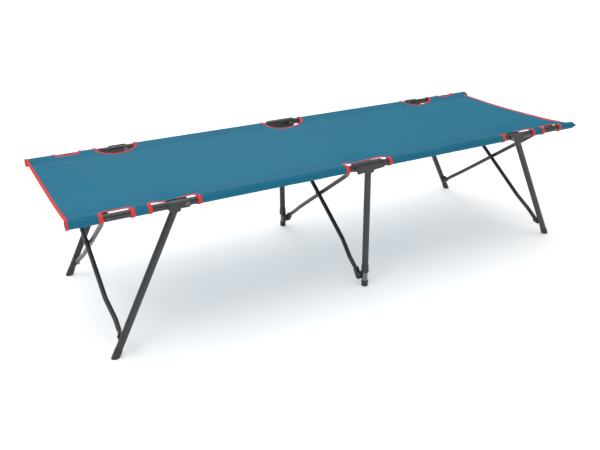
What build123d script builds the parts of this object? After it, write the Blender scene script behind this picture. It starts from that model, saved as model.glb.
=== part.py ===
from build123d import *
import math
import os

# Folding cot: two folding side rails in fabric sleeves, three scissor sets of braces across
# the width, four swinging end legs and two telescoping middle legs. Millimetres.
# X runs along the length, Y across the width (far side is +Y), Z is up from the floor.
# Names start with the side (near or far), then the end (left or right) where there is one.

# ---- driving dimensions -------------------------------------------------------------------
HALF_LENGTH = 950.0          # middle of the cot to the tip of a fabric sleeve
RAIL_Y = 303.0               # middle plane to a rail's axis
RAIL_Z = 439.0               # floor to a rail's axis
RAIL_R, RAIL_WALL = 11.0, 1.2
LEG_R, LEG_WALL = 11.0, 1.2
INNER_R, INNER_WALL = 9.5, 1.2
BRACE_R, BRACE_WALL = 7.5, 1.0
PIN_R = 3.0
RUNNING = 0.06               # radial clearance of a pin in a hole that turns on it
LOOSE = 0.25                 # radial clearance of a pin that may slip out of line a little
PIN_PROUD = 0.1              # a pin stands this far out of what it holds, under its head

# Rivet heads: radius at the seat, radius at the top, height
PIVOT_HEAD = (7.5, 5.0, 1.6)
HINGE_HEAD = (6.0, 4.0, 1.5)
BRACE_HEAD = (5.0, 3.4, 1.3)
CROSS_HEAD = (5.6, 4.0, 1.6)
FOOT_HEAD = (5.5, 3.8, 1.6)
INNER_HEAD = (5.0, 3.6, 1.6)
DIMPLE_R, DIMPLE_DEPTH = 3.4, 1.0    # hollow in the middle of a pivot rivet's head

# Side rails and their folding joint at the centre bracket
HINGE_X = 50.0               # middle of the cot to the pin that a half rail folds on
STUB = 6.0                   # rail past that pin, inside the bracket
RAIL_END = 940.0
PLUG_LENGTH, PLUG_LIP = 14.0, 3.0
CHEEK_IN, CHEEK_T = 11.6, 3.0
BRACKET_HALF = 58.0
BRACKET_TOP = RAIL_Z + 14.8
BRACKET_ROUND = 10.0         # radius of the bracket's long upper edges
ROOF = 2.0                   # thickness of the bracket's top
CHEEK_LOW = RAIL_Z - 19.0    # lower edge of the bracket's cheeks at their deep end
CHEEK_MID = RAIL_Z - 13.0    # and just past the leg, on the shallow side

# Scissor braces: every set has the same pin heights and the same pin inset
PIN_INSET = 28.0             # rail axis to a brace's end pin, across the width
PIN_Y = RAIL_Y - PIN_INSET
KNUCKLE_Z = 55.0             # floor to the lower pins
SET_X = 848.0                # middle of the cot to an end set's plane
SPAN = 2 * PIN_Y
RISE = RAIL_Z - KNUCKLE_Z
BRACE_L = math.hypot(SPAN, RISE)
BRACE_ANGLE = math.atan2(RISE, SPAN)
SIDE_STEP = 8.2              # each brace bends this far aside, so that a pair can cross
MID_TOP_X = 28.0             # top pin of a middle brace, beside the middle leg
MID_LOW_X = 17.0             # lower pin of a middle brace
TONGUE_T, TONGUE_R = 5.0, 6.8
FORK_GAP, FORK_T = 5.6, 3.6
KNUCKLE_NOSE = 9.5           # radius of a knuckle's fork round the brace pin
BEND_R = 70.0
BENDS = (0.08, 0.19, 0.81, 0.92)     # where a brace bends, as shares of its length
TUBE_START = 14.0            # end pin to the end of a brace's round tube
TONGUE_LENGTH = 24.0         # end pin to the inner end of the flattened tongue
FORK_BACK = 9.3              # end pin to the plate behind a fork
YOKE_R, YOKE_T = 10.0, 5.0
SWIVEL_R = 13.0              # round plate of an end knuckle
STUD_R = 5.5                 # shoulder of the stud that a yoke turns on

# End legs
PIVOT_X = 623.0              # middle of the cot to the rivet that an end leg swings on
LEG_LEAN = math.radians(27.25)
LEG_OFFSET = 25.0            # leg's axis to the rivet, square to the leg
LEG_TOP = RAIL_Z - 14.0      # the leg is cut level here, just under the rail
LEG_START = 15.0             # rivet to the uncut tube's upper end, along the leg
HEAD_IN, HEAD_T = 12.6, 2.4
HEAD_R = 11.0                # cheek round the pivot rivet
HEAD_REACH, HEAD_END_R = 49.0, 9.5   # that rivet to the cheek's outer end, and its radius
NECK_NEAR, NECK_FAR = 24.0, 56.0     # that rivet to the sides of the head's neck
NECK_HALF = 12.0             # leg's axis to the neck's lower corners
NECK_INSET = 0.5             # the saddle stands this far inside the cheeks' outline
HEAD_LOW = RAIL_Z - 19.0     # lower edge of the head
SADDLE_R = RAIL_R + 0.6      # hollow in the head, under the rail
SPIGOT_END = 55.0            # rivet to the end of the plug inside the leg, along the leg
CAP_R = 11.9
CAP_LENGTH, CAP_SEAT = 27.0, 9.0

# Middle legs
COLLAR_LOW, COLLAR_HIGH = 53.0, 79.0
OUTER_LOW = 66.0
INNER_TOP = 400.0
SOCKET_LOW = RAIL_Z - 22.0
LEG_STOP = RAIL_Z - 4.0      # upper end of the outer tube, inside the bracket
INNER_LOW = 4.0
INNER_RIVET_Z = 38.0
CAP_TOP, RIDGE_LOW = 19.0, 15.5
KNUCKLE_LOW, KNUCKLE_HIGH = 26.0, 50.0
RIBS = 9
RIB_HALF, RIB_PROUD = 1.3, 0.8
RIB_LOW = RAIL_Z + 7.5

# Fabric
SLEEVE_IN, SLEEVE_OUT = 11.2, 12.3
CUTOUTS = [(0.0, 78.0, 28.0), (590.0, 725.0, 20.0), (785.0, 862.0, 30.0)]
PANEL_Z, PANEL_T = 447.2, 2.4
PANEL_GAP = 0.5
FOLD_GAP = 1.0
RIGHT_EDGE = 914.0

LEG_DOWN = (math.sin(LEG_LEAN), -math.cos(LEG_LEAN))     # along an end leg, in X and Z
LEG_OUT = (math.cos(LEG_LEAN), math.sin(LEG_LEAN))       # square to it, away from the middle


# ---- shared shapes ------------------------------------------------------------------------
def rod(start, end, radius):
    """A solid cylinder between two points."""
    axis = Vector(*end) - Vector(*start)
    return Solid.make_cylinder(radius, axis.length, Plane(origin=start, z_dir=axis))


def tube(start, end, radius, wall):
    """A straight tube between two points."""
    return rod(start, end, radius) - rod(start, end, radius - wall)


def block(low, high):
    """A box from its lowest corner to its highest."""
    size = [h - l for l, h in zip(low, high)]
    centre = [(l + h) / 2 for l, h in zip(low, high)]
    return Pos(*centre) * Box(*size)


def side_plate(outline, y_low, y_high):
    """An outline drawn in X and Z, as a plate between two Y values."""
    face = Plane(origin=(0, y_low, 0), x_dir=(1, 0, 0), z_dir=(0, -1, 0)) * outline
    return extrude(face, -(y_high - y_low))


def hull_of(circles):
    """The outline round a list of circles, each (x, y, radius)."""
    edges = [(Pos(x, y) * Circle(r)).edges() for x, y, r in circles]
    return make_hull([edge for group in edges for edge in group])


def head(point, direction, size):
    """A rivet's domed head; size is its radius at the seat, radius at the top and height."""
    return Solid.make_cone(*size, Plane(origin=point, z_dir=direction))


def mirrored(shape, end, side):
    """A part drawn for the far right corner, moved to another corner."""
    if end < 0:
        shape = mirror(shape, about=Plane.YZ)
    if side < 0:
        shape = mirror(shape, about=Plane.XZ)
    return shape


def leg_point(along, out):
    """X and Z of a point on an end leg, measured from its rivet."""
    return (
        PIVOT_X + along * LEG_DOWN[0] + out * LEG_OUT[0],
        RAIL_Z + along * LEG_DOWN[1] + out * LEG_OUT[1],
    )


# ---- side rails ---------------------------------------------------------------------------
def half_rail():
    """One half of a side rail, with the plug that closes its outer end."""
    body = tube((HINGE_X - STUB, RAIL_Y, RAIL_Z), (RAIL_END, RAIL_Y, RAIL_Z), RAIL_R, RAIL_WALL)
    reach = RAIL_R + 2
    for x, radius in ((HINGE_X, PIN_R + RUNNING), (PIVOT_X, PIN_R), (SET_X, PIN_R)):
        body -= rod((x, RAIL_Y - reach, RAIL_Z), (x, RAIL_Y + reach, RAIL_Z), radius)
    plug_r = RAIL_R - RAIL_WALL
    plug = rod((RAIL_END - PLUG_LENGTH, RAIL_Y, RAIL_Z), (RAIL_END, RAIL_Y, RAIL_Z), plug_r)
    lip_end = RAIL_END + PLUG_LIP
    plug += rod((RAIL_END, RAIL_Y, RAIL_Z), (lip_end, RAIL_Y, RAIL_Z), RAIL_R - 0.5)
    return [body, plug]


def rail_rivets():
    """The leg's pivot rivet and the stud that the brace yoke turns on."""
    outside = HEAD_IN + HEAD_T + PIN_PROUD
    pivot = rod((PIVOT_X, RAIL_Y - outside, RAIL_Z), (PIVOT_X, RAIL_Y + outside, RAIL_Z), PIN_R)
    height = PIVOT_HEAD[2]
    for way in (1, -1):
        seat = RAIL_Y + way * outside
        pivot += head((PIVOT_X, seat, RAIL_Z), (0, way, 0), PIVOT_HEAD)
        floor, clear = seat + way * (height - DIMPLE_DEPTH), seat + way * (height + 1)
        pivot -= rod((PIVOT_X, floor, RAIL_Z), (PIVOT_X, clear, RAIL_Z), DIMPLE_R)
    tip, end = PIN_Y + FORK_BACK - 0.1, RAIL_Y + RAIL_R + 0.4
    shoulder = PIN_Y + FORK_BACK + YOKE_T + 0.3
    stud = rod((SET_X, tip, RAIL_Z), (SET_X, end, RAIL_Z), PIN_R)
    stud += rod((SET_X, shoulder, RAIL_Z), (SET_X, RAIL_Y - RAIL_R, RAIL_Z), STUD_R)
    return [pivot, stud]


def hinge_pin():
    """The pin that joins a half rail to the centre bracket."""
    outside = CHEEK_IN + CHEEK_T + PIN_PROUD
    pin = rod((HINGE_X, RAIL_Y - outside, RAIL_Z), (HINGE_X, RAIL_Y + outside, RAIL_Z), PIN_R)
    for way in (1, -1):
        pin += head((HINGE_X, RAIL_Y + way * outside, RAIL_Z), (0, way, 0), HINGE_HEAD)
    return pin


def sleeve(closed):
    """The stretches of fabric sleeve round a half rail; a closed one has a sewn tip."""
    stretches = []
    starts = [cut[1] for cut in CUTOUTS]
    ends = [cut[0] for cut in CUTOUTS[1:]] + [HALF_LENGTH]
    for start, end in zip(starts, ends):
        wall = SLEEVE_OUT - SLEEVE_IN
        stretches.append(
            tube((start, RAIL_Y, RAIL_Z), (end, RAIL_Y, RAIL_Z), SLEEVE_OUT, wall)
        )
    if closed:
        tip = rod((HALF_LENGTH - 2, RAIL_Y, RAIL_Z), (HALF_LENGTH, RAIL_Y, RAIL_Z), SLEEVE_IN + 0.4)
        stretches[-1] += tip
    return stretches


# ---- forks that hold the brace ends ---------------------------------------------------------
def fork(pin_x, pin_z, back_y, nose_r):
    """Two cheeks round a brace pin, running back to a plate at back_y (far side)."""
    low, high = pin_z - nose_r, pin_z + nose_r
    cheeks = None
    for way in (1, -1):
        inner = pin_x + way * FORK_GAP / 2
        outer = pin_x + way * (FORK_GAP / 2 + FORK_T)
        left, right = min(inner, outer), max(inner, outer)
        nose = rod((left, PIN_Y, pin_z), (right, PIN_Y, pin_z), nose_r)
        web = block((left, PIN_Y, low), (right, back_y, high))
        cheek = nose + web
        cheeks = cheek if cheeks is None else cheeks + cheek
    return cheeks


def pin_hole(pin_x, pin_z, radius):
    """The cutter for a brace pin's hole through a fork."""
    reach = FORK_GAP + FORK_T
    return rod((pin_x - reach, PIN_Y, pin_z), (pin_x + reach, PIN_Y, pin_z), radius)


def swivel(pin_z, nose_r, disc_r, plate_in, plate_out, hole_r):
    """A yoke or knuckle on an end set: a round plate that carries a fork."""
    body = fork(SET_X, pin_z, plate_in + 0.5, nose_r)
    body += rod((SET_X, plate_in, pin_z), (SET_X, plate_out, pin_z), disc_r)
    if hole_r:
        body -= rod((SET_X, plate_in - 1, pin_z), (SET_X, plate_out + 1, pin_z), hole_r)
    return body - pin_hole(SET_X, pin_z, PIN_R + RUNNING)


def yoke():
    """The swivelling fork on the inner side of a rail."""
    plate = PIN_Y + FORK_BACK
    return swivel(RAIL_Z, TONGUE_R, YOKE_R, plate, plate + YOKE_T, PIN_R + LOOSE)


def end_knuckle():
    """The fork beside an end leg, near its foot."""
    plate = PIN_Y + FORK_BACK
    return swivel(KNUCKLE_Z, KNUCKLE_NOSE, SWIVEL_R, plate, RAIL_Y - CAP_R - 0.5, 0)


# ---- braces ---------------------------------------------------------------------------------
def brace_frame(side, x):
    """Local frame of a brace whose foot is on the given side: X along it, Y along global X."""
    c, s = math.cos(BRACE_ANGLE), math.sin(BRACE_ANGLE)
    return Plane(
        origin=(x, side * PIN_Y, KNUCKLE_Z), x_dir=(0, -side * c, s), z_dir=(0, s, side * c)
    )


def brace(side, low_x, mid_x, top_x):
    """A bent brace tube with flattened ends, and its rivets as solids of their own."""
    frame = brace_frame(side, 0.0).location
    stops = [TUBE_START] + [share * BRACE_L for share in BENDS] + [BRACE_L - TUBE_START]
    offsets = [low_x, low_x, mid_x, mid_x, top_x, top_x]
    path = FilletPolyline(*zip(stops, offsets), radius=BEND_R)
    start = Plane(origin=path @ 0, z_dir=path % 0)
    body = sweep(start * Circle(BRACE_R), path=path)
    bore = sweep(start * Circle(BRACE_R - BRACE_WALL), path=path)
    body -= bore
    for pin, x, way in ((0.0, low_x, 1), (BRACE_L, top_x, -1)):
        end = pin + way * TONGUE_LENGTH
        low, high = min(pin, end), max(pin, end)
        half = TONGUE_T / 2
        tongue = block((low, x - half, -TONGUE_R), (high, x + half, TONGUE_R))
        tongue += rod((pin, x - half, 0), (pin, x + half, 0), TONGUE_R)
        shoulder = pin + way * TUBE_START
        tongue += rod((shoulder, x, 0), (shoulder + way * 3.0, x, 0), BRACE_R - BRACE_WALL + 0.05)
        body += tongue
        body -= rod((pin, x - half - 1, 0), (pin, x + half + 1, 0), PIN_R)
    middle = BRACE_L / 2
    near_foot = side < 0
    hole = PIN_R if near_foot else PIN_R + RUNNING
    body -= rod((middle, mid_x - 10, 0), (middle, mid_x + 10, 0), hole)
    solids = [body]
    for pin, x in ((0.0, low_x), (BRACE_L, top_x)):
        reach = FORK_GAP / 2 + FORK_T + 0.15
        stem = rod((pin, x - reach, 0), (pin, x + reach, 0), PIN_R)
        for way in (1, -1):
            stem += head((pin, x + way * reach, 0), (0, way, 0), BRACE_HEAD)
        solids.append(stem)
    if near_foot:
        reach = SIDE_STEP + BRACE_R + PIN_PROUD
        stem = rod((middle, -reach, 0), (middle, reach, 0), PIN_R)
        stem += rod((middle, -0.6, 0), (middle, 0.6, 0), 5.0)
        for way in (1, -1):
            stem += head((middle, way * reach, 0), (0, way, 0), CROSS_HEAD)
        shift = mid_x + SIDE_STEP
        solids.append(Pos(0, shift, 0) * stem)
    return [frame * solid for solid in solids]


# ---- end legs -------------------------------------------------------------------------------
def leg_axis_x(z):
    """X of an end leg's axis at a height."""
    start = leg_point(0, LEG_OFFSET)
    return start[0] + (start[1] - z) * math.tan(LEG_LEAN)


def under_rail(shape):
    """A shape on an end leg, cut off level just under the rail."""
    x, room = leg_axis_x(LEG_TOP), 2 * LEG_OFFSET
    low = (x - room, RAIL_Y - room, LEG_TOP)
    return shape - block(low, (x + room, RAIL_Y + room, LEG_TOP + room))


def end_leg():
    """An end leg's tube, and the rivet that ties it to its knuckle."""
    top = leg_point(LEG_START, LEG_OFFSET)
    foot_along = (RAIL_Z + LEG_OFFSET * LEG_OUT[1]) / math.cos(LEG_LEAN) - CAP_SEAT
    foot = leg_point(foot_along, LEG_OFFSET)
    body = tube((top[0], RAIL_Y, top[1]), (foot[0], RAIL_Y, foot[1]), LEG_R, LEG_WALL)
    body = under_rail(body)
    inside, outside = RAIL_Y - LEG_R, RAIL_Y + LEG_R
    body -= rod((SET_X, inside - 2, KNUCKLE_Z), (SET_X, outside + 2, KNUCKLE_Z), PIN_R)
    stem = rod((SET_X, inside, KNUCKLE_Z), (SET_X, outside + PIN_PROUD, KNUCKLE_Z), PIN_R)
    stem += head((SET_X, outside, KNUCKLE_Z), (0, 1, 0), FOOT_HEAD)
    return [body, stem]


def leg_head():
    """The head on an end leg: two cheeks beside the rail, and a saddle under it.

    The saddle takes the leg's cut end, and a plug runs down inside the leg.
    """
    leg_x = leg_axis_x(HEAD_LOW)
    rail_part = hull_of([
        (PIVOT_X, RAIL_Z, HEAD_R),
        (PIVOT_X + HEAD_REACH, RAIL_Z + 1, HEAD_END_R),
    ])
    leg_part = hull_of([
        (PIVOT_X + NECK_NEAR, RAIL_Z - 7.5, 3.0),
        (PIVOT_X + NECK_FAR, RAIL_Z - 6.5, 3.0),
        (leg_x - NECK_HALF, HEAD_LOW + 3, 3.0),
        (leg_x + NECK_HALF, HEAD_LOW + 3, 3.0),
    ])
    outline = rail_part + leg_part
    body = side_plate(outline, RAIL_Y + HEAD_IN, RAIL_Y + HEAD_IN + HEAD_T)
    body += side_plate(outline, RAIL_Y - HEAD_IN - HEAD_T, RAIL_Y - HEAD_IN)
    saddle = hull_of([
        (PIVOT_X + NECK_NEAR + 3, RAIL_Z - 8.5, 2.0),
        (PIVOT_X + NECK_FAR - 4, RAIL_Z - 8.5, 2.0),
        (leg_x - NECK_HALF + NECK_INSET, HEAD_LOW + NECK_INSET + 3, 2.0),
        (leg_x + NECK_HALF - NECK_INSET, HEAD_LOW + NECK_INSET + 3, 2.0),
    ])
    half = HEAD_IN + HEAD_T - 0.4
    body += side_plate(saddle, RAIL_Y - half, RAIL_Y + half)
    top, low = leg_point(LEG_START, LEG_OFFSET), leg_point(SPIGOT_END, LEG_OFFSET)
    body -= under_rail(rod((top[0], RAIL_Y, top[1]), (low[0], RAIL_Y, low[1]), LEG_R))
    body += rod((top[0], RAIL_Y, top[1]), (low[0], RAIL_Y, low[1]), LEG_R - LEG_WALL)
    rail_end = PIVOT_X + 2 * HEAD_REACH
    body -= rod((PIVOT_X, RAIL_Y, RAIL_Z), (rail_end, RAIL_Y, RAIL_Z), SADDLE_R)
    reach = HEAD_IN + HEAD_T + 1
    return body - rod(
        (PIVOT_X, RAIL_Y - reach, RAIL_Z), (PIVOT_X, RAIL_Y + reach, RAIL_Z), PIN_R + RUNNING
    )


def leg_cap():
    """The foot cap of an end leg, cut flat where it stands."""
    foot_along = (RAIL_Z + LEG_OFFSET * LEG_OUT[1]) / math.cos(LEG_LEAN)
    low, high = leg_point(foot_along + 20, LEG_OFFSET), leg_point(foot_along - CAP_LENGTH, LEG_OFFSET)
    seat = leg_point(foot_along - CAP_SEAT, LEG_OFFSET)
    cap = rod((low[0], RAIL_Y, low[1]), (high[0], RAIL_Y, high[1]), CAP_R)
    cap -= rod((seat[0], RAIL_Y, seat[1]), (high[0], RAIL_Y, high[1]), LEG_R)
    return cap - block((800, RAIL_Y - 40, -60), (960, RAIL_Y + 40, 0))


# ---- middle legs and centre brackets --------------------------------------------------------
def over_rail(half, top, low, corner):
    """A bar along X over a rail, with rounded upper edges."""
    outline = hull_of([
        (RAIL_Y - half + corner, top - corner, corner),
        (RAIL_Y + half - corner, top - corner, corner),
        (RAIL_Y - half + 1, low + 1, 1.0),
        (RAIL_Y + half - 1, low + 1, 1.0),
    ])
    reach = BRACKET_HALF + 2
    plane = Plane(origin=(-reach, 0, 0), x_dir=(0, 1, 0), z_dir=(1, 0, 0))
    return extrude(plane * outline, 2 * reach)


def centre_bracket():
    """The ribbed bracket that both half rails fold in and the middle leg hangs from.

    Drawn for the far side, with the brace fork and the deep end at +X.
    """
    half = CHEEK_IN + CHEEK_T
    outline = hull_of([
        (-BRACKET_HALF + 8, BRACKET_TOP - 8, 8.0),
        (BRACKET_HALF - 6, BRACKET_TOP - 6, 6.0),
        (-BRACKET_HALF + 8, RAIL_Z - 2, 8.0),
        (-18, CHEEK_MID + 3, 3.0),
        (BRACKET_HALF - 14, CHEEK_LOW + 6, 6.0),
    ])
    body = side_plate(outline, RAIL_Y - half - 1, RAIL_Y + half + 1)
    body &= over_rail(half, BRACKET_TOP, CHEEK_LOW - 4, BRACKET_ROUND)
    ridges = over_rail(half + RIB_PROUD, BRACKET_TOP + RIB_PROUD, CHEEK_LOW, BRACKET_ROUND)
    pitch = 2 * (BRACKET_HALF - 12) / (RIBS - 1)
    for index in range(RIBS):
        x = -BRACKET_HALF + 12 + index * pitch
        body += ridges & block(
            (x - RIB_HALF, RAIL_Y - half - 2, RIB_LOW),
            (x + RIB_HALF, RAIL_Y + half + 2, BRACKET_TOP + 2),
        )
    body -= over_rail(CHEEK_IN, BRACKET_TOP - ROOF, CHEEK_LOW - 8, BRACKET_ROUND - ROOF)
    body += side_plate(
        hull_of([(-15, RAIL_Z, 4), (15, RAIL_Z, 4), (-9, SOCKET_LOW + 4, 4), (9, SOCKET_LOW + 4, 4)]),
        RAIL_Y - half, RAIL_Y + half,
    )
    body -= rod((0, RAIL_Y, SOCKET_LOW - 1), (0, RAIL_Y, LEG_STOP), LEG_R)
    body += fork(MID_TOP_X, RAIL_Z, RAIL_Y - CHEEK_IN - 0.5, TONGUE_R)
    body -= pin_hole(MID_TOP_X, RAIL_Z, PIN_R + RUNNING)
    for x in (-HINGE_X, HINGE_X):
        body -= rod(
            (x, RAIL_Y - half - 1, RAIL_Z), (x, RAIL_Y + half + 1, RAIL_Z), PIN_R + RUNNING
        )
    return body


def outer_leg():
    """The middle leg's upper tube, fixed in the bracket."""
    return tube((0, RAIL_Y, OUTER_LOW), (0, RAIL_Y, LEG_STOP), LEG_R, LEG_WALL)


def collar():
    """The tapered collar at the lower end of the middle leg's upper tube."""
    height = COLLAR_HIGH - COLLAR_LOW
    body = Solid.make_cone(13.4, 12.2, height, Plane(origin=(0, RAIL_Y, COLLAR_LOW)))
    body -= rod((0, RAIL_Y, OUTER_LOW), (0, RAIL_Y, COLLAR_HIGH + 1), LEG_R)
    return body - rod((0, RAIL_Y, COLLAR_LOW - 1), (0, RAIL_Y, OUTER_LOW + 1), INNER_R + 0.35)


def inner_leg():
    """The middle leg's lower tube, which slides out as the cot folds, and its rivet."""
    body = tube((0, RAIL_Y, INNER_LOW), (0, RAIL_Y, INNER_TOP), INNER_R, INNER_WALL)
    rivet_z = INNER_RIVET_Z
    body -= rod((0, RAIL_Y - 12, rivet_z), (0, RAIL_Y + 12, rivet_z), PIN_R)
    inside = RAIL_Y - INNER_R + 0.7
    stem = rod((0, inside, rivet_z), (0, RAIL_Y + INNER_R, rivet_z), PIN_R)
    stem += head((0, RAIL_Y + INNER_R - 0.4, rivet_z), (0, 1, 0), INNER_HEAD)
    return [body, stem]


def middle_cap():
    """The foot cap of a middle leg."""
    body = rod((0, RAIL_Y, 0), (0, RAIL_Y, CAP_TOP), INNER_R + 1.8)
    body = chamfer(body.edges().sort_by(Axis.Z)[0], 1.2)
    body += rod((0, RAIL_Y, RIDGE_LOW), (0, RAIL_Y, CAP_TOP), INNER_R + 2.6)
    return body - rod((0, RAIL_Y, INNER_LOW), (0, RAIL_Y, CAP_TOP + 1), INNER_R)


def middle_knuckle():
    """The fork fixed to a middle leg's lower tube, drawn for the far side."""
    low, high = KNUCKLE_LOW, KNUCKLE_HIGH
    body = block((-9, PIN_Y + FORK_BACK, low), (MID_LOW_X + 6, RAIL_Y - 7.5, high))
    body -= rod((0, RAIL_Y, low - 1), (0, RAIL_Y, high + 1), INNER_R)
    for way in (1, -1):
        inner = MID_LOW_X + way * FORK_GAP / 2
        outer = MID_LOW_X + way * (FORK_GAP / 2 + FORK_T)
        left, right = min(inner, outer), max(inner, outer)
        outline = make_hull(
            (Pos(PIN_Y, KNUCKLE_Z) * Circle(KNUCKLE_NOSE)).edges()
            + (Pos(PIN_Y + 11.3, (low + high) / 2) * Rectangle(4, high - low)).edges()
        )
        plane = Plane(origin=(left, 0, 0), x_dir=(0, 1, 0), z_dir=(1, 0, 0))
        body += extrude(plane * outline, right - left)
    return body - pin_hole(MID_LOW_X, KNUCKLE_Z, PIN_R + RUNNING)


# ---- fabric ---------------------------------------------------------------------------------
def panel(x_low, x_high):
    """A stretch of the sleeping surface between the sleeves, with its edge cut-outs."""
    half = RAIL_Y - SLEEVE_OUT - PANEL_GAP
    body = block((x_low, -half, PANEL_Z), (x_high, half, PANEL_Z + PANEL_T))
    for near, far, depth in CUTOUTS:
        for end in (-1, 1):
            for side in (-1, 1):
                low = min(end * near, end * far) if near else -far
                high = max(end * near, end * far)
                body -= cutout(low, high, side, depth)
    return body


def cutout(low, high, side, depth):
    """The cutter for one round-cornered notch in a fabric edge."""
    line = side * (RAIL_Y - depth)
    edge = side * RAIL_Y
    corner = min(22.0, (high - low) / 3, depth - 14)
    outline = Pos((low + high) / 2, (line + edge) / 2) * Rectangle(high - low, abs(edge - line))
    corners = outline.vertices().sort_by(Axis.Y)
    inner = corners[:2] if side > 0 else corners[-2:]
    outline = fillet(inner, corner)
    return extrude(Pos(0, 0, PANEL_Z - 1) * outline, PANEL_T + 2)


# ---- write the parts --------------------------------------------------------------------------
def save(shape, name):
    """Write one sub-part; a list of solids shares one file."""
    if isinstance(shape, list):
        solids = [solid for piece in shape for solid in piece.solids()]
        shape = Compound(children=solids)
    export_step(shape, f"parts/{name}.step")


SIDES = {"near": -1, "far": 1}
ENDS = {"left": -1, "right": 1}

os.makedirs("parts", exist_ok=True)

for side_name, side in SIDES.items():
    # the near side is the far side turned half a turn about Z, so its fork is at -X
    turn = Rot(0, 0, 0 if side > 0 else 180)
    for name, shape in {
        "centre_bracket": [centre_bracket()],
        "outer_leg": [outer_leg()],
        "leg_collar": [collar()],
        "inner_leg": inner_leg(),
        "middle_foot_cap": [middle_cap()],
        "middle_knuckle": [middle_knuckle()],
    }.items():
        save([turn * piece for piece in shape], f"{side_name}_{name}")
    low, mid, top = side * MID_LOW_X, side * SIDE_STEP, -side * MID_TOP_X
    save(brace(side, low, mid, top), f"middle_brace_{side_name}_foot")

for end_name, end in ENDS.items():
    for side_name, side in SIDES.items():
        for name, shape in {
            "rail": half_rail(),
            "rail_rivets": rail_rivets(),
            "hinge_pin": [hinge_pin()],
            "sleeve": sleeve(closed=end > 0),
            "brace_yoke": [yoke()],
            "end_knuckle": [end_knuckle()],
            "end_leg": end_leg(),
            "leg_head": [leg_head()],
            "foot_cap": [leg_cap()],
        }.items():
            save([mirrored(piece, end, side) for piece in shape], f"{side_name}_{end_name}_{name}")
        low, mid = end * SET_X, end * SET_X + side * SIDE_STEP
        save(brace(side, low, mid, low), f"{end_name}_brace_{side_name}_foot")

save(panel(-HALF_LENGTH, -HINGE_X - FOLD_GAP), "left_panel")
save(panel(-HINGE_X + FOLD_GAP, HINGE_X - FOLD_GAP), "centre_panel")
save(panel(HINGE_X + FOLD_GAP, RIGHT_EDGE), "right_panel")
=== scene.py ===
import math

import bpy
from mathutils import Matrix, Vector, noise


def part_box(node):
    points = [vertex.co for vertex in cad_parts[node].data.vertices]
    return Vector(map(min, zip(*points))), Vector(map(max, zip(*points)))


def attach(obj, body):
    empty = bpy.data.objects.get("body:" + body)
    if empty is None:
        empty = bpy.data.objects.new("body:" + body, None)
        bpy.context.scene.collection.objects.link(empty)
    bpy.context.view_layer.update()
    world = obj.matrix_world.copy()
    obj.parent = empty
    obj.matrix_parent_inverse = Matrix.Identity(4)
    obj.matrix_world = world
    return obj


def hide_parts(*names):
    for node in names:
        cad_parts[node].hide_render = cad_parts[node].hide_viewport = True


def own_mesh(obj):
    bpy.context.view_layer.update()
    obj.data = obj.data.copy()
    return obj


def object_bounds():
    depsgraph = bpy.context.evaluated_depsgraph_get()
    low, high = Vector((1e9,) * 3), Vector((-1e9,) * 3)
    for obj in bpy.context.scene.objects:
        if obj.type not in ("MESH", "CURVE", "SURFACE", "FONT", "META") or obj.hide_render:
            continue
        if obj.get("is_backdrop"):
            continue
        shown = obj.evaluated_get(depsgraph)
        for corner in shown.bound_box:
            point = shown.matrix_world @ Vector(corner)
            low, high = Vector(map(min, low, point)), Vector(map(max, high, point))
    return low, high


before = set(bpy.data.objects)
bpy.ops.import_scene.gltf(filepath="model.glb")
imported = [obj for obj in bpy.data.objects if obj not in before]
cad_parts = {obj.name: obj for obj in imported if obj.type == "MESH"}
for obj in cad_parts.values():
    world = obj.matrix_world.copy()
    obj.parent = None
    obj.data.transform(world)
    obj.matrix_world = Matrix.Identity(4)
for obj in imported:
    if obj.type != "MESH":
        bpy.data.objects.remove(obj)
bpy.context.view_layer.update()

# ---- places, read from the frame (metres) -------------------------------------------------
SIDES = {"near": -1, "far": 1}
ENDS = {"left": -1, "right": 1}
sleeve_low, sleeve_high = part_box("far_right_sleeve")
RAIL_Y = (sleeve_low.y + sleeve_high.y) / 2
RAIL_Z = (sleeve_low.z + sleeve_high.z) / 2
SLEEVE_R = (sleeve_high.z - sleeve_low.z) / 2
TIP_X = sleeve_high.x
OVERHANG = 0.009             # cloth past the rails' ends, at the open left end
LEFT_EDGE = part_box("left_panel")[0].x - OVERHANG
RIGHT_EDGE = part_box("right_panel")[1].x
pin_low, pin_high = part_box("far_right_hinge_pin")
HINGE_X = (pin_low.x + pin_high.x) / 2

# ---- cloth --------------------------------------------------------------------------------
# notches: from, to, depth and the sag of the slack cut edge; NOTCHES are mirrored to both ends
NOTCHES = [(0.590, 0.725, 0.040, 0.0125), (0.785, 0.862, 0.016, 0.0015)]
CENTRE_NOTCH = (-0.078, 0.078, 0.056, 0.0140)
ARCH = 3.0                   # power of a notch's rounded outline
NOTCH_STEPS = 30
MIN_CUT = 0.002              # the binding starts where a notch is deeper than this
SLACK = 0.050                # the sag fades out over this distance from a cut edge
SLACK_SPAN = 1.35            # and over this many half widths of the notch along it
HELD, SLACK_RISE = 0.004, 0.012             # none this near the rail's axis, then its least rise
HEM_Y = 0.2495               # middle plane to the seam that closes the sleeve
CLOTH_T = 0.0009
CLOTH_RISE = 0.0006          # the cloth over the sleeve's top
SAG = 0.0055                 # middle of the cloth below its edges
DROP, DROP_WIDTH = 0.0026, 0.050            # the cloth falls off beside the sleeve
RIPPLE, FINE_RIPPLE, RIPPLE_EDGE = 0.0011, 0.0005, 0.04
HEM_RISE, HEM_STEP = 0.0006, 0.0015         # the doubled hem stands up over a short step
PULL, PULL_REACH, PULL_START, PULL_RAYS = 0.0026, 0.16, 0.03, 11.0      # creases from the corners
FOLD, FOLD_PLACE, FOLD_SKEW, FOLD_WIDTH = 0.0052, 0.085, 0.05, 0.040     # slack by the left edge
FOLD_FADE = 0.12
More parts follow.
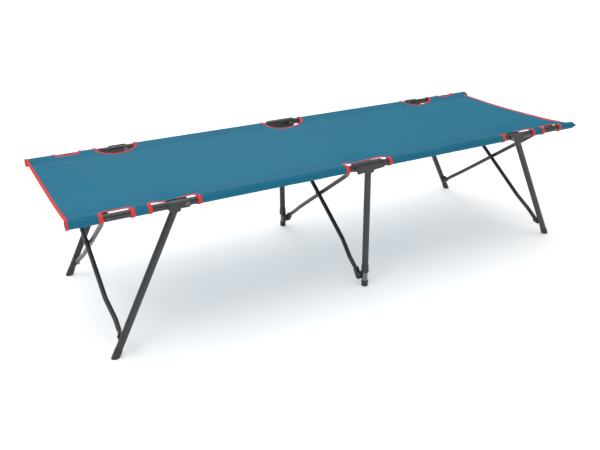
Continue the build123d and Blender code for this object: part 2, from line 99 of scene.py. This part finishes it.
CONCAVE, CONCAVE_POWER = 0.009, 6           # how far the right edge pulls in, and how late
BINDING_W, BINDING_T = 0.0075, 0.0011
LEFT_TAPE_W, RIGHT_TAPE_W = 0.0085, 0.011   # binding along the two open ends
RING_W, LEFT_RING_W = 0.011, 0.005          # binding round a sleeve's cut end
STEP, ROW_STEP, OUTER_ROWS = 0.005, 0.009, 9
HEM_ROWS = [-0.0022, -0.0008, 0, 0.0008, 0.0022]        # closer rows over the hem's step
TAPE_STEP = 0.006
LEFT_TAPE_IN, LEFT_TAPE_SHORT, RIGHT_TAPE_PAST = 0.0008, 0.002, 0.014
STITCH_STEP, SEAM_GAP, SEAM_CLEAR = 0.0042, 0.0035, 0.006
SEAM_START, SEAM_STOP = 0.006, 0.004        # a seam's distance from its stretch's two ends
# tape folded over an edge: inwards in shares of its width, outwards and up in shares of its thickness
TAPE_PROFILE = [
    (-1, 0), (-0.7, 0.8), (0, 1), (0.6, 1), (1, 0.55), (1, -0.55), (0.6, -1), (0, -1), (-0.7, -0.8),
]
# tape round a sleeve's end: share of its width, or metres past the end, and metres off the sleeve
RING_PROFILE = [
    (0, -0.0014), (-0.0009, -0.0002), (-0.0004, 0.0009), (0.35, 0.0013), (0.8, 0.0012), (1, 0.0002),
]
RING_POINTS, RING_WAVE = 40, 0.00025
# a stitch: metres along it, and its radius there
STITCH_PROFILE = [(-0.0013, 0.0001), (-0.0009, 0.00032), (0.0009, 0.00032), (0.0013, 0.0001)]
STITCH_POINTS, STITCH_LIFT = 6, 0.0001
TUCK, TUCK_STEPS = math.radians(64), 8      # the centre stretch bends this far down at a hinge
TUCK_UNDER = 0.0005          # and lies this far under its neighbours
TIP_FLAT, TIP_PAST = 0.010, 0.006           # a closed sleeve's tip is pressed flat, past the rail
# its height there, the width it gains, both as shares, and how far its inner corner is cut back
TIP_TALL, TIP_WIDER, TIP_CORNER = 0.10, 0.10, 0.005
SLEEVE_STEP, TIP_STEP, SLEEVE_POINTS = 0.006, 0.003, 36
SLEEVE_WRINKLE, SLEEVE_FINE, SLEEVE_SEAM = 0.0006, 0.0003, 0.0010
SLEEVE_INNER = 0.935         # the sleeve's inside, as a share of its outside
NEARLY = 1e-9                # rounding allowed when X values are compared

ALL_NOTCHES = [CENTRE_NOTCH]
for near, far, depth, slump in NOTCHES:
    ALL_NOTCHES += [(near, far, depth, slump), (-far, -near, depth, slump)]


def smooth(t):
    """Smooth step from 0 to 1."""
    t = max(0.0, min(1.0, t))
    return t * t * (3 - 2 * t)


def notch_edge(x, low, high, depth):
    """A notch's depth at x, and the direction from its edge into the cloth."""
    half = (high - low) / 2
    u = max(-1.0, min(1.0, (x - (low + high) / 2) / half))
    share = (1 - abs(u) ** ARCH) ** (1 / ARCH)
    along = math.copysign(abs(u) ** (ARCH - 1) / half, u)
    inward = share ** (ARCH - 1) / depth
    size = math.hypot(along, inward)
    return depth * share, along / size, inward / size


def notch_xs(low, high):
    """X values along a notch, closer together at its ends."""
    xs = []
    for i in range(NOTCH_STEPS + 1):
        c = math.cos(math.pi * i / NOTCH_STEPS)
        xs.append((low + high) / 2 - (high - low) / 2 * math.copysign(abs(c) ** (2 / ARCH), c))
    return xs


def half_width(x):
    """Middle plane to the cloth's edge at x: the rail's axis, or the edge of a notch."""
    for low, high, depth, _ in ALL_NOTCHES:
        if low < x < high:
            return RAIL_Y - notch_edge(x, low, high, depth)[0]
    return RAIL_Y


def crease(x, y):
    """Pulls that fan out of the four corners, and slack along the left edge."""
    total = 0.0
    for end_x in (LEFT_EDGE, RIGHT_EDGE):
        for side in (-1, 1):
            dx, dy = x - end_x, y - side * RAIL_Y
            away = math.hypot(dx, dy)
            angle = math.atan2(abs(dy), abs(dx))
            fade = math.exp(-away / PULL_REACH) * smooth(away / PULL_START)
            total += PULL * fade * math.sin(PULL_RAYS * angle + 1.3 * side + 4 * end_x)
    from_fold = x - LEFT_EDGE - FOLD_PLACE - FOLD_SKEW * (RAIL_Y - y) / RAIL_Y
    total += FOLD * math.exp(-((from_fold / FOLD_WIDTH) ** 2)) * smooth((RAIL_Y - abs(y)) / FOLD_FADE)
    return total


def slump_at(x, y):
    """How far the cloth has sagged beside the notches, where no rail holds its edge up."""
    total = 0.0
    for low, high, depth, slump in ALL_NOTCHES:
        u = (x - (low + high) / 2) / ((high - low) / 2)
        if abs(u) < SLACK_SPAN:
            along = (1 - (u / SLACK_SPAN) ** 2) ** 2
            inside = max(0.0, RAIL_Y - depth - abs(y))
            loose = smooth((RAIL_Y - HELD - abs(y)) / max(SLACK_RISE, depth - SLACK_RISE))
            total += slump * along * loose * math.exp(-((inside / SLACK) ** 2))
    return total


def cloth_z(x, y):
    """Height of the cloth's upper face."""
    a = min(abs(y), RAIL_Y)
    edge = RAIL_Z + SLEEVE_R + CLOTH_RISE
    drop = DROP * smooth((RAIL_Y - a) / DROP_WIDTH)
    sag = SAG * (1 - (a / RAIL_Y) ** 2)
    inner = smooth((RAIL_Y - a) / RIPPLE_EDGE)
    ripple = RIPPLE * noise.noise(Vector((x * 3.1, y * 7.0, 0.4)))
    ripple += FINE_RIPPLE * noise.noise(Vector((x * 11.0, y * 23.0, 2.7)))
    double = HEM_RISE * smooth((a - HEM_Y) / HEM_STEP)
    return edge - drop - sag - slump_at(x, y) + inner * (ripple + crease(x, y) + double)


# ---- materials ----------------------------------------------------------------------------
class Shader:
    """A material's node tree, with short calls for the nodes used here."""

    def __init__(self, name, color, **sockets):
        self.material = bpy.data.materials.new(name)
        self.material.use_nodes = True
        self.tree = self.material.node_tree
        self.bsdf = self.tree.nodes["Principled BSDF"]
        self.bsdf.inputs["Base Color"].default_value = (*color, 1)
        self.material.diffuse_color = (*color, 1)
        for key, value in sockets.items():
            self.bsdf.inputs[key.replace("_", " ")].default_value = value
        self.place = self.node("ShaderNodeTexCoord").outputs["Object"]

    def node(self, kind, **settings):
        made = self.tree.nodes.new(kind)
        for key, value in settings.items():
            setattr(made, key, value)
        return made

    def link(self, output, target):
        self.tree.links.new(output, target)

    def noise(self, scale, detail=4.0):
        made = self.node("ShaderNodeTexNoise")
        made.inputs["Scale"].default_value = scale
        made.inputs["Detail"].default_value = detail
        self.link(self.place, made.inputs["Vector"])
        return made.outputs["Fac"]

    def bands(self, scale, direction):
        made = self.node("ShaderNodeTexWave", bands_direction=direction)
        made.inputs["Scale"].default_value = scale
        made.inputs["Distortion"].default_value = 0.6
        self.link(self.place, made.inputs["Vector"])
        return made.outputs["Fac"]

    def math(self, operation, a, b):
        made = self.node("ShaderNodeMath", operation=operation)
        for socket, value in zip(made.inputs, (a, b)):
            if isinstance(value, (int, float)):
                socket.default_value = value
            else:
                self.link(value, socket)
        return made.outputs[0]

    def between(self, factor, low, high):
        """A factor from 0 to 1, spread over a range."""
        made = self.node("ShaderNodeMapRange")
        made.inputs["To Min"].default_value = low
        made.inputs["To Max"].default_value = high
        self.link(factor, made.inputs["Value"])
        return made.outputs["Result"]

    def mix(self, factor, a, b):
        """A colour between two; each is a colour or another node's output."""
        made = self.node("ShaderNodeMix", data_type="RGBA")
        self.link(factor, made.inputs["Factor"])
        for socket, value in ((made.inputs[6], a), (made.inputs[7], b)):
            if isinstance(value, tuple):
                socket.default_value = (*value, 1)
            else:
                self.link(value, socket)
        return made.outputs[2]

    def color(self, output):
        self.link(output, self.bsdf.inputs["Base Color"])

    def roughness(self, output):
        self.link(output, self.bsdf.inputs["Roughness"])

    def bump(self, height, distance, strength):
        made = self.node("ShaderNodeBump")
        made.inputs["Strength"].default_value = strength
        made.inputs["Distance"].default_value = distance
        self.link(height, made.inputs["Height"])
        self.link(made.outputs["Normal"], self.bsdf.inputs["Normal"])


def powder_coat(name, dark, light, metallic, rough):
    """Satin powder coat: orange peel, a slow drift of tone and faint handling marks."""
    s = Shader(name, dark, Metallic=metallic, Coat_Weight=0.12, Coat_Roughness=0.25)
    s.color(s.mix(s.noise(14.0), dark, light))
    marks = s.noise(55.0, 8.0)
    s.roughness(s.between(marks, rough - 0.07, rough + 0.10))
    s.bump(s.noise(900.0, 2.0), 0.00012, 0.5)
    return s.material


def drawn_steel(name, dark, light, rough):
    """Bare or zinc-plated steel with fine drawing lines."""
    s = Shader(name, light, Metallic=1.0)
    s.color(s.mix(s.noise(60.0, 6.0), dark, light))
    s.roughness(s.between(s.noise(220.0, 5.0), rough - 0.08, rough + 0.12))
    s.bump(s.bands(420.0, "Z"), 0.00004, 0.4)
    return s.material


def moulded(name, dark, light, rough):
    """Moulded plastic with a fine spark grain."""
    s = Shader(name, dark)
    s.color(s.mix(s.noise(25.0, 5.0), dark, light))
    s.roughness(s.between(s.noise(400.0, 2.0), rough - 0.06, rough + 0.08))
    s.bump(s.noise(1500.0, 1.0), 0.00010, 0.6)
    return s.material


def woven(name, base, deep, pale, edge_shade_share):
    """Coated plain-weave polyester, with painted shade that darkens it towards the rails, over its
    doubled edges.
    """
    s = Shader(name, base, Specular_IOR_Level=0.14)
    threads = s.math("MAXIMUM", s.bands(300.0, "X"), s.bands(300.0, "Y"))
    tone = s.mix(s.between(s.noise(5.0, 3.0), 0.2, 0.8), deep, pale)
    tone = s.mix(s.between(threads, 0.35, 0.75), tone, base)
    split = s.node("ShaderNodeSeparateXYZ")
    s.link(s.place, split.inputs[0])
    across = s.math("ABSOLUTE", split.outputs["Y"], 0.0)
    # painted shade: the colour darkens towards the rails, over the doubled hem and the sleeves
    edge_shade = s.node("ShaderNodeMapRange", interpolation_type="SMOOTHSTEP")
    edge_shade.inputs["From Min"].default_value = HEM_Y - 0.05
    edge_shade.inputs["From Max"].default_value = HEM_Y + 0.03
    edge_shade.inputs["To Max"].default_value = edge_shade_share
    s.link(across, edge_shade.inputs["Value"])
    s.color(s.mix(edge_shade.outputs["Result"], tone, deep))
    s.roughness(s.between(s.noise(120.0, 4.0), 0.62, 0.78))
    s.bump(s.math("ADD", threads, s.math("MULTIPLY", s.noise(700.0), 0.5)), 0.00016, 0.55)
    return s.material


def tape(name, base, deep):
    """Ribbed binding tape."""
    s = Shader(name, base, Specular_IOR_Level=0.16)
    ribs = s.math("MAXIMUM", s.bands(210.0, "X"), s.bands(210.0, "Y"))
    s.color(s.mix(s.between(ribs, 0.0, 0.45), base, deep))
    s.roughness(s.between(s.noise(150.0), 0.55, 0.72))
    s.bump(ribs, 0.00022, 0.7)
    return s.material


BLUE, BLUE_DEEP, BLUE_PALE = (0.010, 0.150, 0.244), (0.005, 0.096, 0.167), (0.017, 0.189, 0.291)
MATERIALS = {
    "powder_coat": powder_coat(
        "powder_coat_look", (0.029, 0.030, 0.032), (0.050, 0.052, 0.055), metallic=0.35, rough=0.36
    ),
    "head_steel": powder_coat(
        "head_steel_look", (0.024, 0.025, 0.027), (0.044, 0.045, 0.048), metallic=0.45, rough=0.32
    ),
    "bright_tube": drawn_steel("bright_tube_look", (0.15, 0.155, 0.16), (0.24, 0.245, 0.25), 0.34),
    "rivet_steel": drawn_steel("rivet_steel_look", (0.09, 0.09, 0.09), (0.19, 0.19, 0.188), 0.34),
    "black_plastic": moulded("black_plastic_look", (0.020, 0.021, 0.023), (0.036, 0.037, 0.040), 0.42),
    "foot_plastic": moulded("foot_plastic_look", (0.022, 0.023, 0.025), (0.036, 0.037, 0.039), 0.58),
    # the last value is how far the painted shade towards the rails darkens the cloth
    "sleeping_fabric": woven("sleeping_fabric_look", BLUE, BLUE_DEEP, BLUE_PALE, 0.20),
}
RED = tape("binding_look", (0.78, 0.052, 0.044), (0.54, 0.026, 0.024))
THREAD = moulded("thread_look", (0.008, 0.095, 0.165), (0.015, 0.140, 0.230), 0.6)

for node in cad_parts.values():
    for material_slot in node.material_slots:
        material_slot.material = MATERIALS[material_slot.material.name.split(".")[0]]


# ---- mesh helpers ---------------------------------------------------------------------------
def piece(name, points, faces, material, body):
    """A smooth-shaded mesh that rides on a body."""
    mesh = bpy.data.meshes.new(name)
    mesh.from_pydata([tuple(p) for p in points], [], faces)
    mesh.validate()
    mesh.materials.append(material)
    mesh.shade_smooth()
    made = bpy.data.objects.new(name, mesh)
    bpy.context.scene.collection.objects.link(made)
    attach(made, body)
    return made


def skin(rings, closed=True, capped=True):
    """Points and faces of a skin over rings that all have the same number of points."""
    count = len(rings[0])
    points = [p for ring in rings for p in ring]
    faces = []
    for i in range(len(rings) - 1):
        for j in range(count if closed else count - 1):
            k = (j + 1) % count
            a, b = i * count, (i + 1) * count
            faces.append((a + j, a + k, b + k, b + j))
    if capped and closed:
        faces.append(tuple(reversed(range(count))))
        faces.append(tuple(range(len(points) - count, len(points))))
    return points, faces


def joined(parts):
    """Several (points, faces) as one."""
    points, faces = [], []
    for part_points, part_faces in parts:
        start = len(points)
        points += part_points
        faces += [tuple(i + start for i in face) for face in part_faces]
    return points, faces


def steps(low, high, size):
    """Evenly spaced values from low to high."""
    count = max(1, math.ceil((high - low) / size))
    return [low + (high - low) * i / count for i in range(count + 1)]


# ---- sleeping surface -----------------------------------------------------------------------
def columns(low, high):
    """X values of the cloth's columns: even steps, and each notch's own values."""
    xs = set(steps(low, high, STEP))
    for a, b, _, _ in ALL_NOTCHES:
        xs.update(notch_xs(a, b))
    return sorted(x for x in xs if low - NEARLY <= x <= high + NEARLY)


def border(x, y, low, high):
    """X with the right edge's slight curve let in; the other stretches stay straight."""
    if high < RIGHT_EDGE:
        return x
    share = max(0.0, (x - low) / (high - low))
    return x - CONCAVE * (1 - (y / RAIL_Y) ** 2) * share ** CONCAVE_POWER


def surface(name, low, high, body, node, tuck=()):
    """A stretch of cloth between two X values, bent down past each end in tuck, -1 or 1."""
    inner = steps(0, HEM_Y - ROW_STEP / 2, ROW_STEP) + [HEM_Y + offset for offset in HEM_ROWS]
    outer = [i / OUTER_ROWS for i in range(1, OUTER_ROWS + 1)]
    rows = []
    for x in columns(low, high):
        edge = half_width(x)
        half = inner + [inner[-1] + (edge - inner[-1]) * s for s in outer]
        ys = [-y for y in reversed(half[1:])] + half
        row = []
        for y in ys:
            place_x = border(x, y, low, high)
            row.append(Vector((place_x, y, cloth_z(place_x, y))))
        rows.append(row)
    grids = [rows]
    for end in tuck:
        last = rows[-1] if end > 0 else rows[0]
        bent = []
        for share in range(TUCK_STEPS + 1):
            angle = TUCK * share / TUCK_STEPS
            ring = []
            for p in last:
                radius = p.z - RAIL_Z - TUCK_UNDER
                bent_x = end * (HINGE_X + radius * math.sin(angle))
                ring.append(Vector((bent_x, p.y, RAIL_Z + radius * math.cos(angle))))
            bent.append(ring)
        grids.append(bent if end > 0 else bent[::-1])
    points, faces = joined([skin(grid, closed=False) for grid in grids])
    faces = [tuple(reversed(f)) for f in faces]
    made = piece(name, points, faces, MATERIALS["sleeping_fabric"], body)
    thickness = made.modifiers.new("thickness", "SOLIDIFY")
    thickness.thickness = CLOTH_T
    thickness.offset = -1.0
    thickness.use_rim = False
    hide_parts(node)
    return made


# ---- binding and stitches ---------------------------------------------------------------------
def strip(path, width=BINDING_W):
    """Tape folded over the cloth's edge; path is a list of (point, direction into the cloth)."""
    profile = []
    for u, v in TAPE_PROFILE:
        profile.append((u * width if u > 0 else u * BINDING_T, v * BINDING_T))
    rings = []
    for (x, y), (dx, dy) in path:
        ring = []
        for u, v in profile:
            px, py = x + u * dx, y + u * dy
            ring.append(Vector((px, py, cloth_z(px, py) - CLOTH_T / 2 + v)))
        rings.append(ring)
    return skin(rings)


def ring_strip(x, way, y, width):
    """Tape round the cut end of a sleeve at x; way says which side of x the cloth is on."""
    rings = []
    base = SLEEVE_R + CLOTH_RISE
    for u, r in RING_PROFILE:
        offset = u * width if u > 0 else u
        ring = []
        for i in range(RING_POINTS):
            angle = 2 * math.pi * i / RING_POINTS
            radius = base + r + RING_WAVE * math.sin(5 * angle + 40 * x)
            ring_y, ring_z = y + radius * math.cos(angle), RAIL_Z + radius * math.sin(angle)
            ring.append(Vector((x + way * offset, ring_y, ring_z)))
        rings.append(ring)
    return skin(rings, capped=False)


def notch_path(low, high, depth, side, x_from, x_to):
    """The edge of a notch, with the direction into the cloth, clipped to a stretch in X."""
    path = []
    for x in sorted(notch_xs(low, high) + [x for x in (-HINGE_X, HINGE_X) if low < x < high]):
        deep, along, inward = notch_edge(x, low, high, depth)
        if deep > MIN_CUT and x_from - NEARLY <= x <= x_to + NEARLY:
            path.append(((x, side * (RAIL_Y - deep)), (along, -side * inward)))
    return path


def stitches(lines, body, name):
    """Short raised stitches along lines of (point, direction)."""
    parts = []
    for line in lines:
        for (x, y), (dx, dy) in line:
            along, across = Vector((dx, dy, 0)), Vector((-dy, dx, 0))
            centre = Vector((x, y, cloth_z(x, y)))
            rings = []
            for u, r in STITCH_PROFILE:
                ring = []
                for i in range(STITCH_POINTS):
                    angle = 2 * math.pi * i / STITCH_POINTS
                    rise = Vector((0, 0, r * math.sin(angle) + STITCH_LIFT))
                    ring.append(centre + along * u + across * (r * math.cos(angle)) + rise)
                rings.append(ring)
            parts.append(skin(rings))
    points, faces = joined(parts)
    return piece(name, points, faces, THREAD, body)


# ---- sleeves ----------------------------------------------------------------------------------
def sleeve_stretch(low, high, y, side, closed_tip):
    """A stretch of sleeve round the rail, drawn in a little where it is sewn to the surface."""
    rings = []
    reach = high + TIP_PAST if closed_tip else high
    for x in steps(low, reach, TIP_STEP if closed_tip else SLEEVE_STEP):
        ring = []
        tip = smooth((reach - x) / (TIP_FLAT + TIP_PAST)) if closed_tip else 1.0
        tall, wide = TIP_TALL + (1 - TIP_TALL) * tip, 1 + TIP_WIDER - TIP_WIDER * tip
        for i in range(SLEEVE_POINTS):
            angle = 2 * math.pi * i / SLEEVE_POINTS
            up, inward = math.sin(angle), -side * math.cos(angle)
            slack = SLEEVE_WRINKLE * noise.noise(Vector((x * 14, 2.2 * up + y * 9, 1.7 * inward)))
            slack += SLEEVE_FINE * noise.noise(Vector((x * 55, 3 * up, 3 * inward + y)))
            ends = min(x - low, reach - x) / (reach - low)
            lift = SLEEVE_SEAM * max(0.0, 0.8 * inward + 0.6 * up) ** 6
            radius = SLEEVE_R + slack * smooth(ends * 10) + lift
            ring_x = x - TIP_CORNER * (1 - tip) * max(0.0, inward)
            ring_y = y + radius * math.cos(angle) * wide
            ring.append(Vector((ring_x, ring_y, RAIL_Z + radius * up * tall)))
        rings.append(ring)
    if closed_tip:
        return skin(rings)
    inner = []
    for ring in rings:
        inner.append([
            Vector((p.x, y + (p.y - y) * SLEEVE_INNER, RAIL_Z + (p.z - RAIL_Z) * SLEEVE_INNER))
            for p in ring
        ])
    return skin(rings + inner[::-1] + rings[:1], capped=False)


def make_sleeve(side_name, end_name):
    """The three sleeve stretches of one corner, with the binding at their cut ends."""
    side, end = SIDES[side_name], ENDS[end_name]
    y, body = side * RAIL_Y, f"{side_name}_{end_name}_rail"
    cuts = [CENTRE_NOTCH[1]] + [v for notch in NOTCHES for v in notch[:2]] + [TIP_X]
    cloth, tapes = [], []
    for low, high in zip(cuts[::2], cuts[1::2]):
        last = high == TIP_X
        a, b = (low, high) if end > 0 else (-high, -low)
        if last and end < 0:
            a = LEFT_EDGE
        cloth.append(sleeve_stretch(a, b, y, side, closed_tip=last and end > 0))
        for x in (a, b):
            if last and end > 0 and x == b:
                continue
            width = LEFT_RING_W if x == LEFT_EDGE else RING_W
            tapes.append(ring_strip(x, 1 if x == a else -1, y, width))
    stem = f"{side_name}_{end_name}"
    made = piece(f"{stem}_sleeve_cloth", *joined(cloth), MATERIALS["sleeping_fabric"], body)
    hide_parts(f"{stem}_sleeve")
    return [made, piece(f"{stem}_sleeve_binding", *joined(tapes), RED, body)]


# from, to, body, and the ends that bend under a neighbour
STRETCHES = {
    "left": (LEFT_EDGE, -HINGE_X, "far_left_rail", ()),
    "centre": (-HINGE_X, HINGE_X, "far_centre", (-1, 1)),
    "right": (HINGE_X, RIGHT_EDGE, "far_right_rail", ()),
}
cloths = []
for name, (low, high, body, tuck) in STRETCHES.items():
    cloth = surface(f"{name}_cloth", low, high, body, f"{name}_panel", tuck)
    tapes, lines = [], []
    for side in (-1, 1):
        for notch in ALL_NOTCHES:
            path = notch_path(*notch[:3], side, low, high)
            if len(path) > 2:
                tapes.append(strip(path))
        seam = steps(low + SEAM_START, high - SEAM_STOP, STITCH_STEP)
        for y in (HEM_Y, HEM_Y + SEAM_GAP):
            lines.append([((x, side * y), (1, 0)) for x in seam if half_width(x) > y + SEAM_CLEAR])
    if name == "left":
        ys = steps(-RAIL_Y + LEFT_TAPE_SHORT, RAIL_Y - LEFT_TAPE_SHORT, TAPE_STEP)
        tapes.append(strip([((LEFT_EDGE + LEFT_TAPE_IN, y), (1, 0)) for y in ys], LEFT_TAPE_W))
    if name == "right":
        ys = steps(-HEM_Y - RIGHT_TAPE_PAST, HEM_Y + RIGHT_TAPE_PAST, TAPE_STEP)
        tapes.append(strip([((border(high, y, low, high), y), (-1, 0)) for y in ys], RIGHT_TAPE_W))
    made = [cloth]
    if tapes:
        made.append(piece(f"{name}_cloth_binding", *joined(tapes), RED, body))
    if any(lines):
        made.append(stitches(lines, body, f"{name}_cloth_stitches"))
    for part in made:
        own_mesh(part)
    cloths.append((cloth, high - low, made[1:]))

sleeves = {name: [] for name in STRETCHES}
for side_name in SIDES:
    for end_name in ENDS:
        sleeves[end_name] += make_sleeve(side_name, end_name)
for (cloth, length, extras), name in zip(cloths, STRETCHES):
    end_name = "left" if name == "left" else "right"

# ---- floor, light and camera --------------------------------------------------------------------
bpy.ops.mesh.primitive_plane_add(size=60)
floor = bpy.context.object
floor.name = "floor"
# a little emission brings the floor near the photo's white
paper = Shader("floor_look", (0.84, 0.84, 0.84), Emission_Color=(1, 1, 1, 1), Emission_Strength=0.30)
paper.roughness(paper.between(paper.noise(3.0), 0.75, 0.85))
floor.data.materials.append(paper.material)
floor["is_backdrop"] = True

world = bpy.data.worlds.new("studio")
bpy.context.scene.world = world
world.use_nodes = True
world.node_tree.nodes["Background"].inputs[0].default_value = (1, 1, 1, 1)
world.node_tree.nodes["Background"].inputs[1].default_value = 0.55
bpy.context.scene.view_settings.view_transform = "Standard"


def lamp(name, place, target, size, power):
    """A soft area light."""
    data = bpy.data.lights.new(name, "AREA")
    data.size, data.energy = size, power
    made = bpy.data.objects.new(name, data)
    bpy.context.scene.collection.objects.link(made)
    made.location = place
    made.rotation_euler = (Vector(target) - Vector(place)).to_track_quat("-Z", "Y").to_euler()


MIDDLE = (0, 0, RAIL_Z)
overhead = bpy.data.lights.new("overhead", "SUN")
overhead.energy, overhead.angle = 1.7, math.radians(75)
sun = bpy.data.objects.new("overhead", overhead)
bpy.context.scene.collection.objects.link(sun)
sun.rotation_euler = (math.radians(-14), math.radians(-10), 0)
lamp("key", (-1.8, -1.6, 2.4), MIDDLE, size=1.4, power=14)
lamp("back", (0.6, 2.6, 2.0), MIDDLE, size=2.0, power=12)

# the camera's yaw is measured from +Y towards +X, and its pitch is down from level
CAMERA_PLACE = (-1.231, -2.063, 1.164)
YAW, PITCH, ROLL = math.radians(29.02), math.radians(23.58), math.radians(-0.65)
forward = Vector((math.sin(YAW) * math.cos(PITCH), math.cos(YAW) * math.cos(PITCH), -math.sin(PITCH)))
level = Vector((math.cos(YAW), -math.sin(YAW), 0))
above = level.cross(forward)
right = math.cos(ROLL) * level + math.sin(ROLL) * above
up = math.cos(ROLL) * above - math.sin(ROLL) * level
camera = bpy.data.objects.new("camera", bpy.data.cameras.new("camera"))
bpy.context.scene.collection.objects.link(camera)
camera.matrix_world = Matrix.Translation(CAMERA_PLACE) @ Matrix((
    (right.x, up.x, -forward.x), (right.y, up.y, -forward.y), (right.z, up.z, -forward.z),
)).to_4x4()
camera.data.sensor_width = 36.0
camera.data.lens = 41.67
bpy.context.scene.camera = camera

low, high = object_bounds()
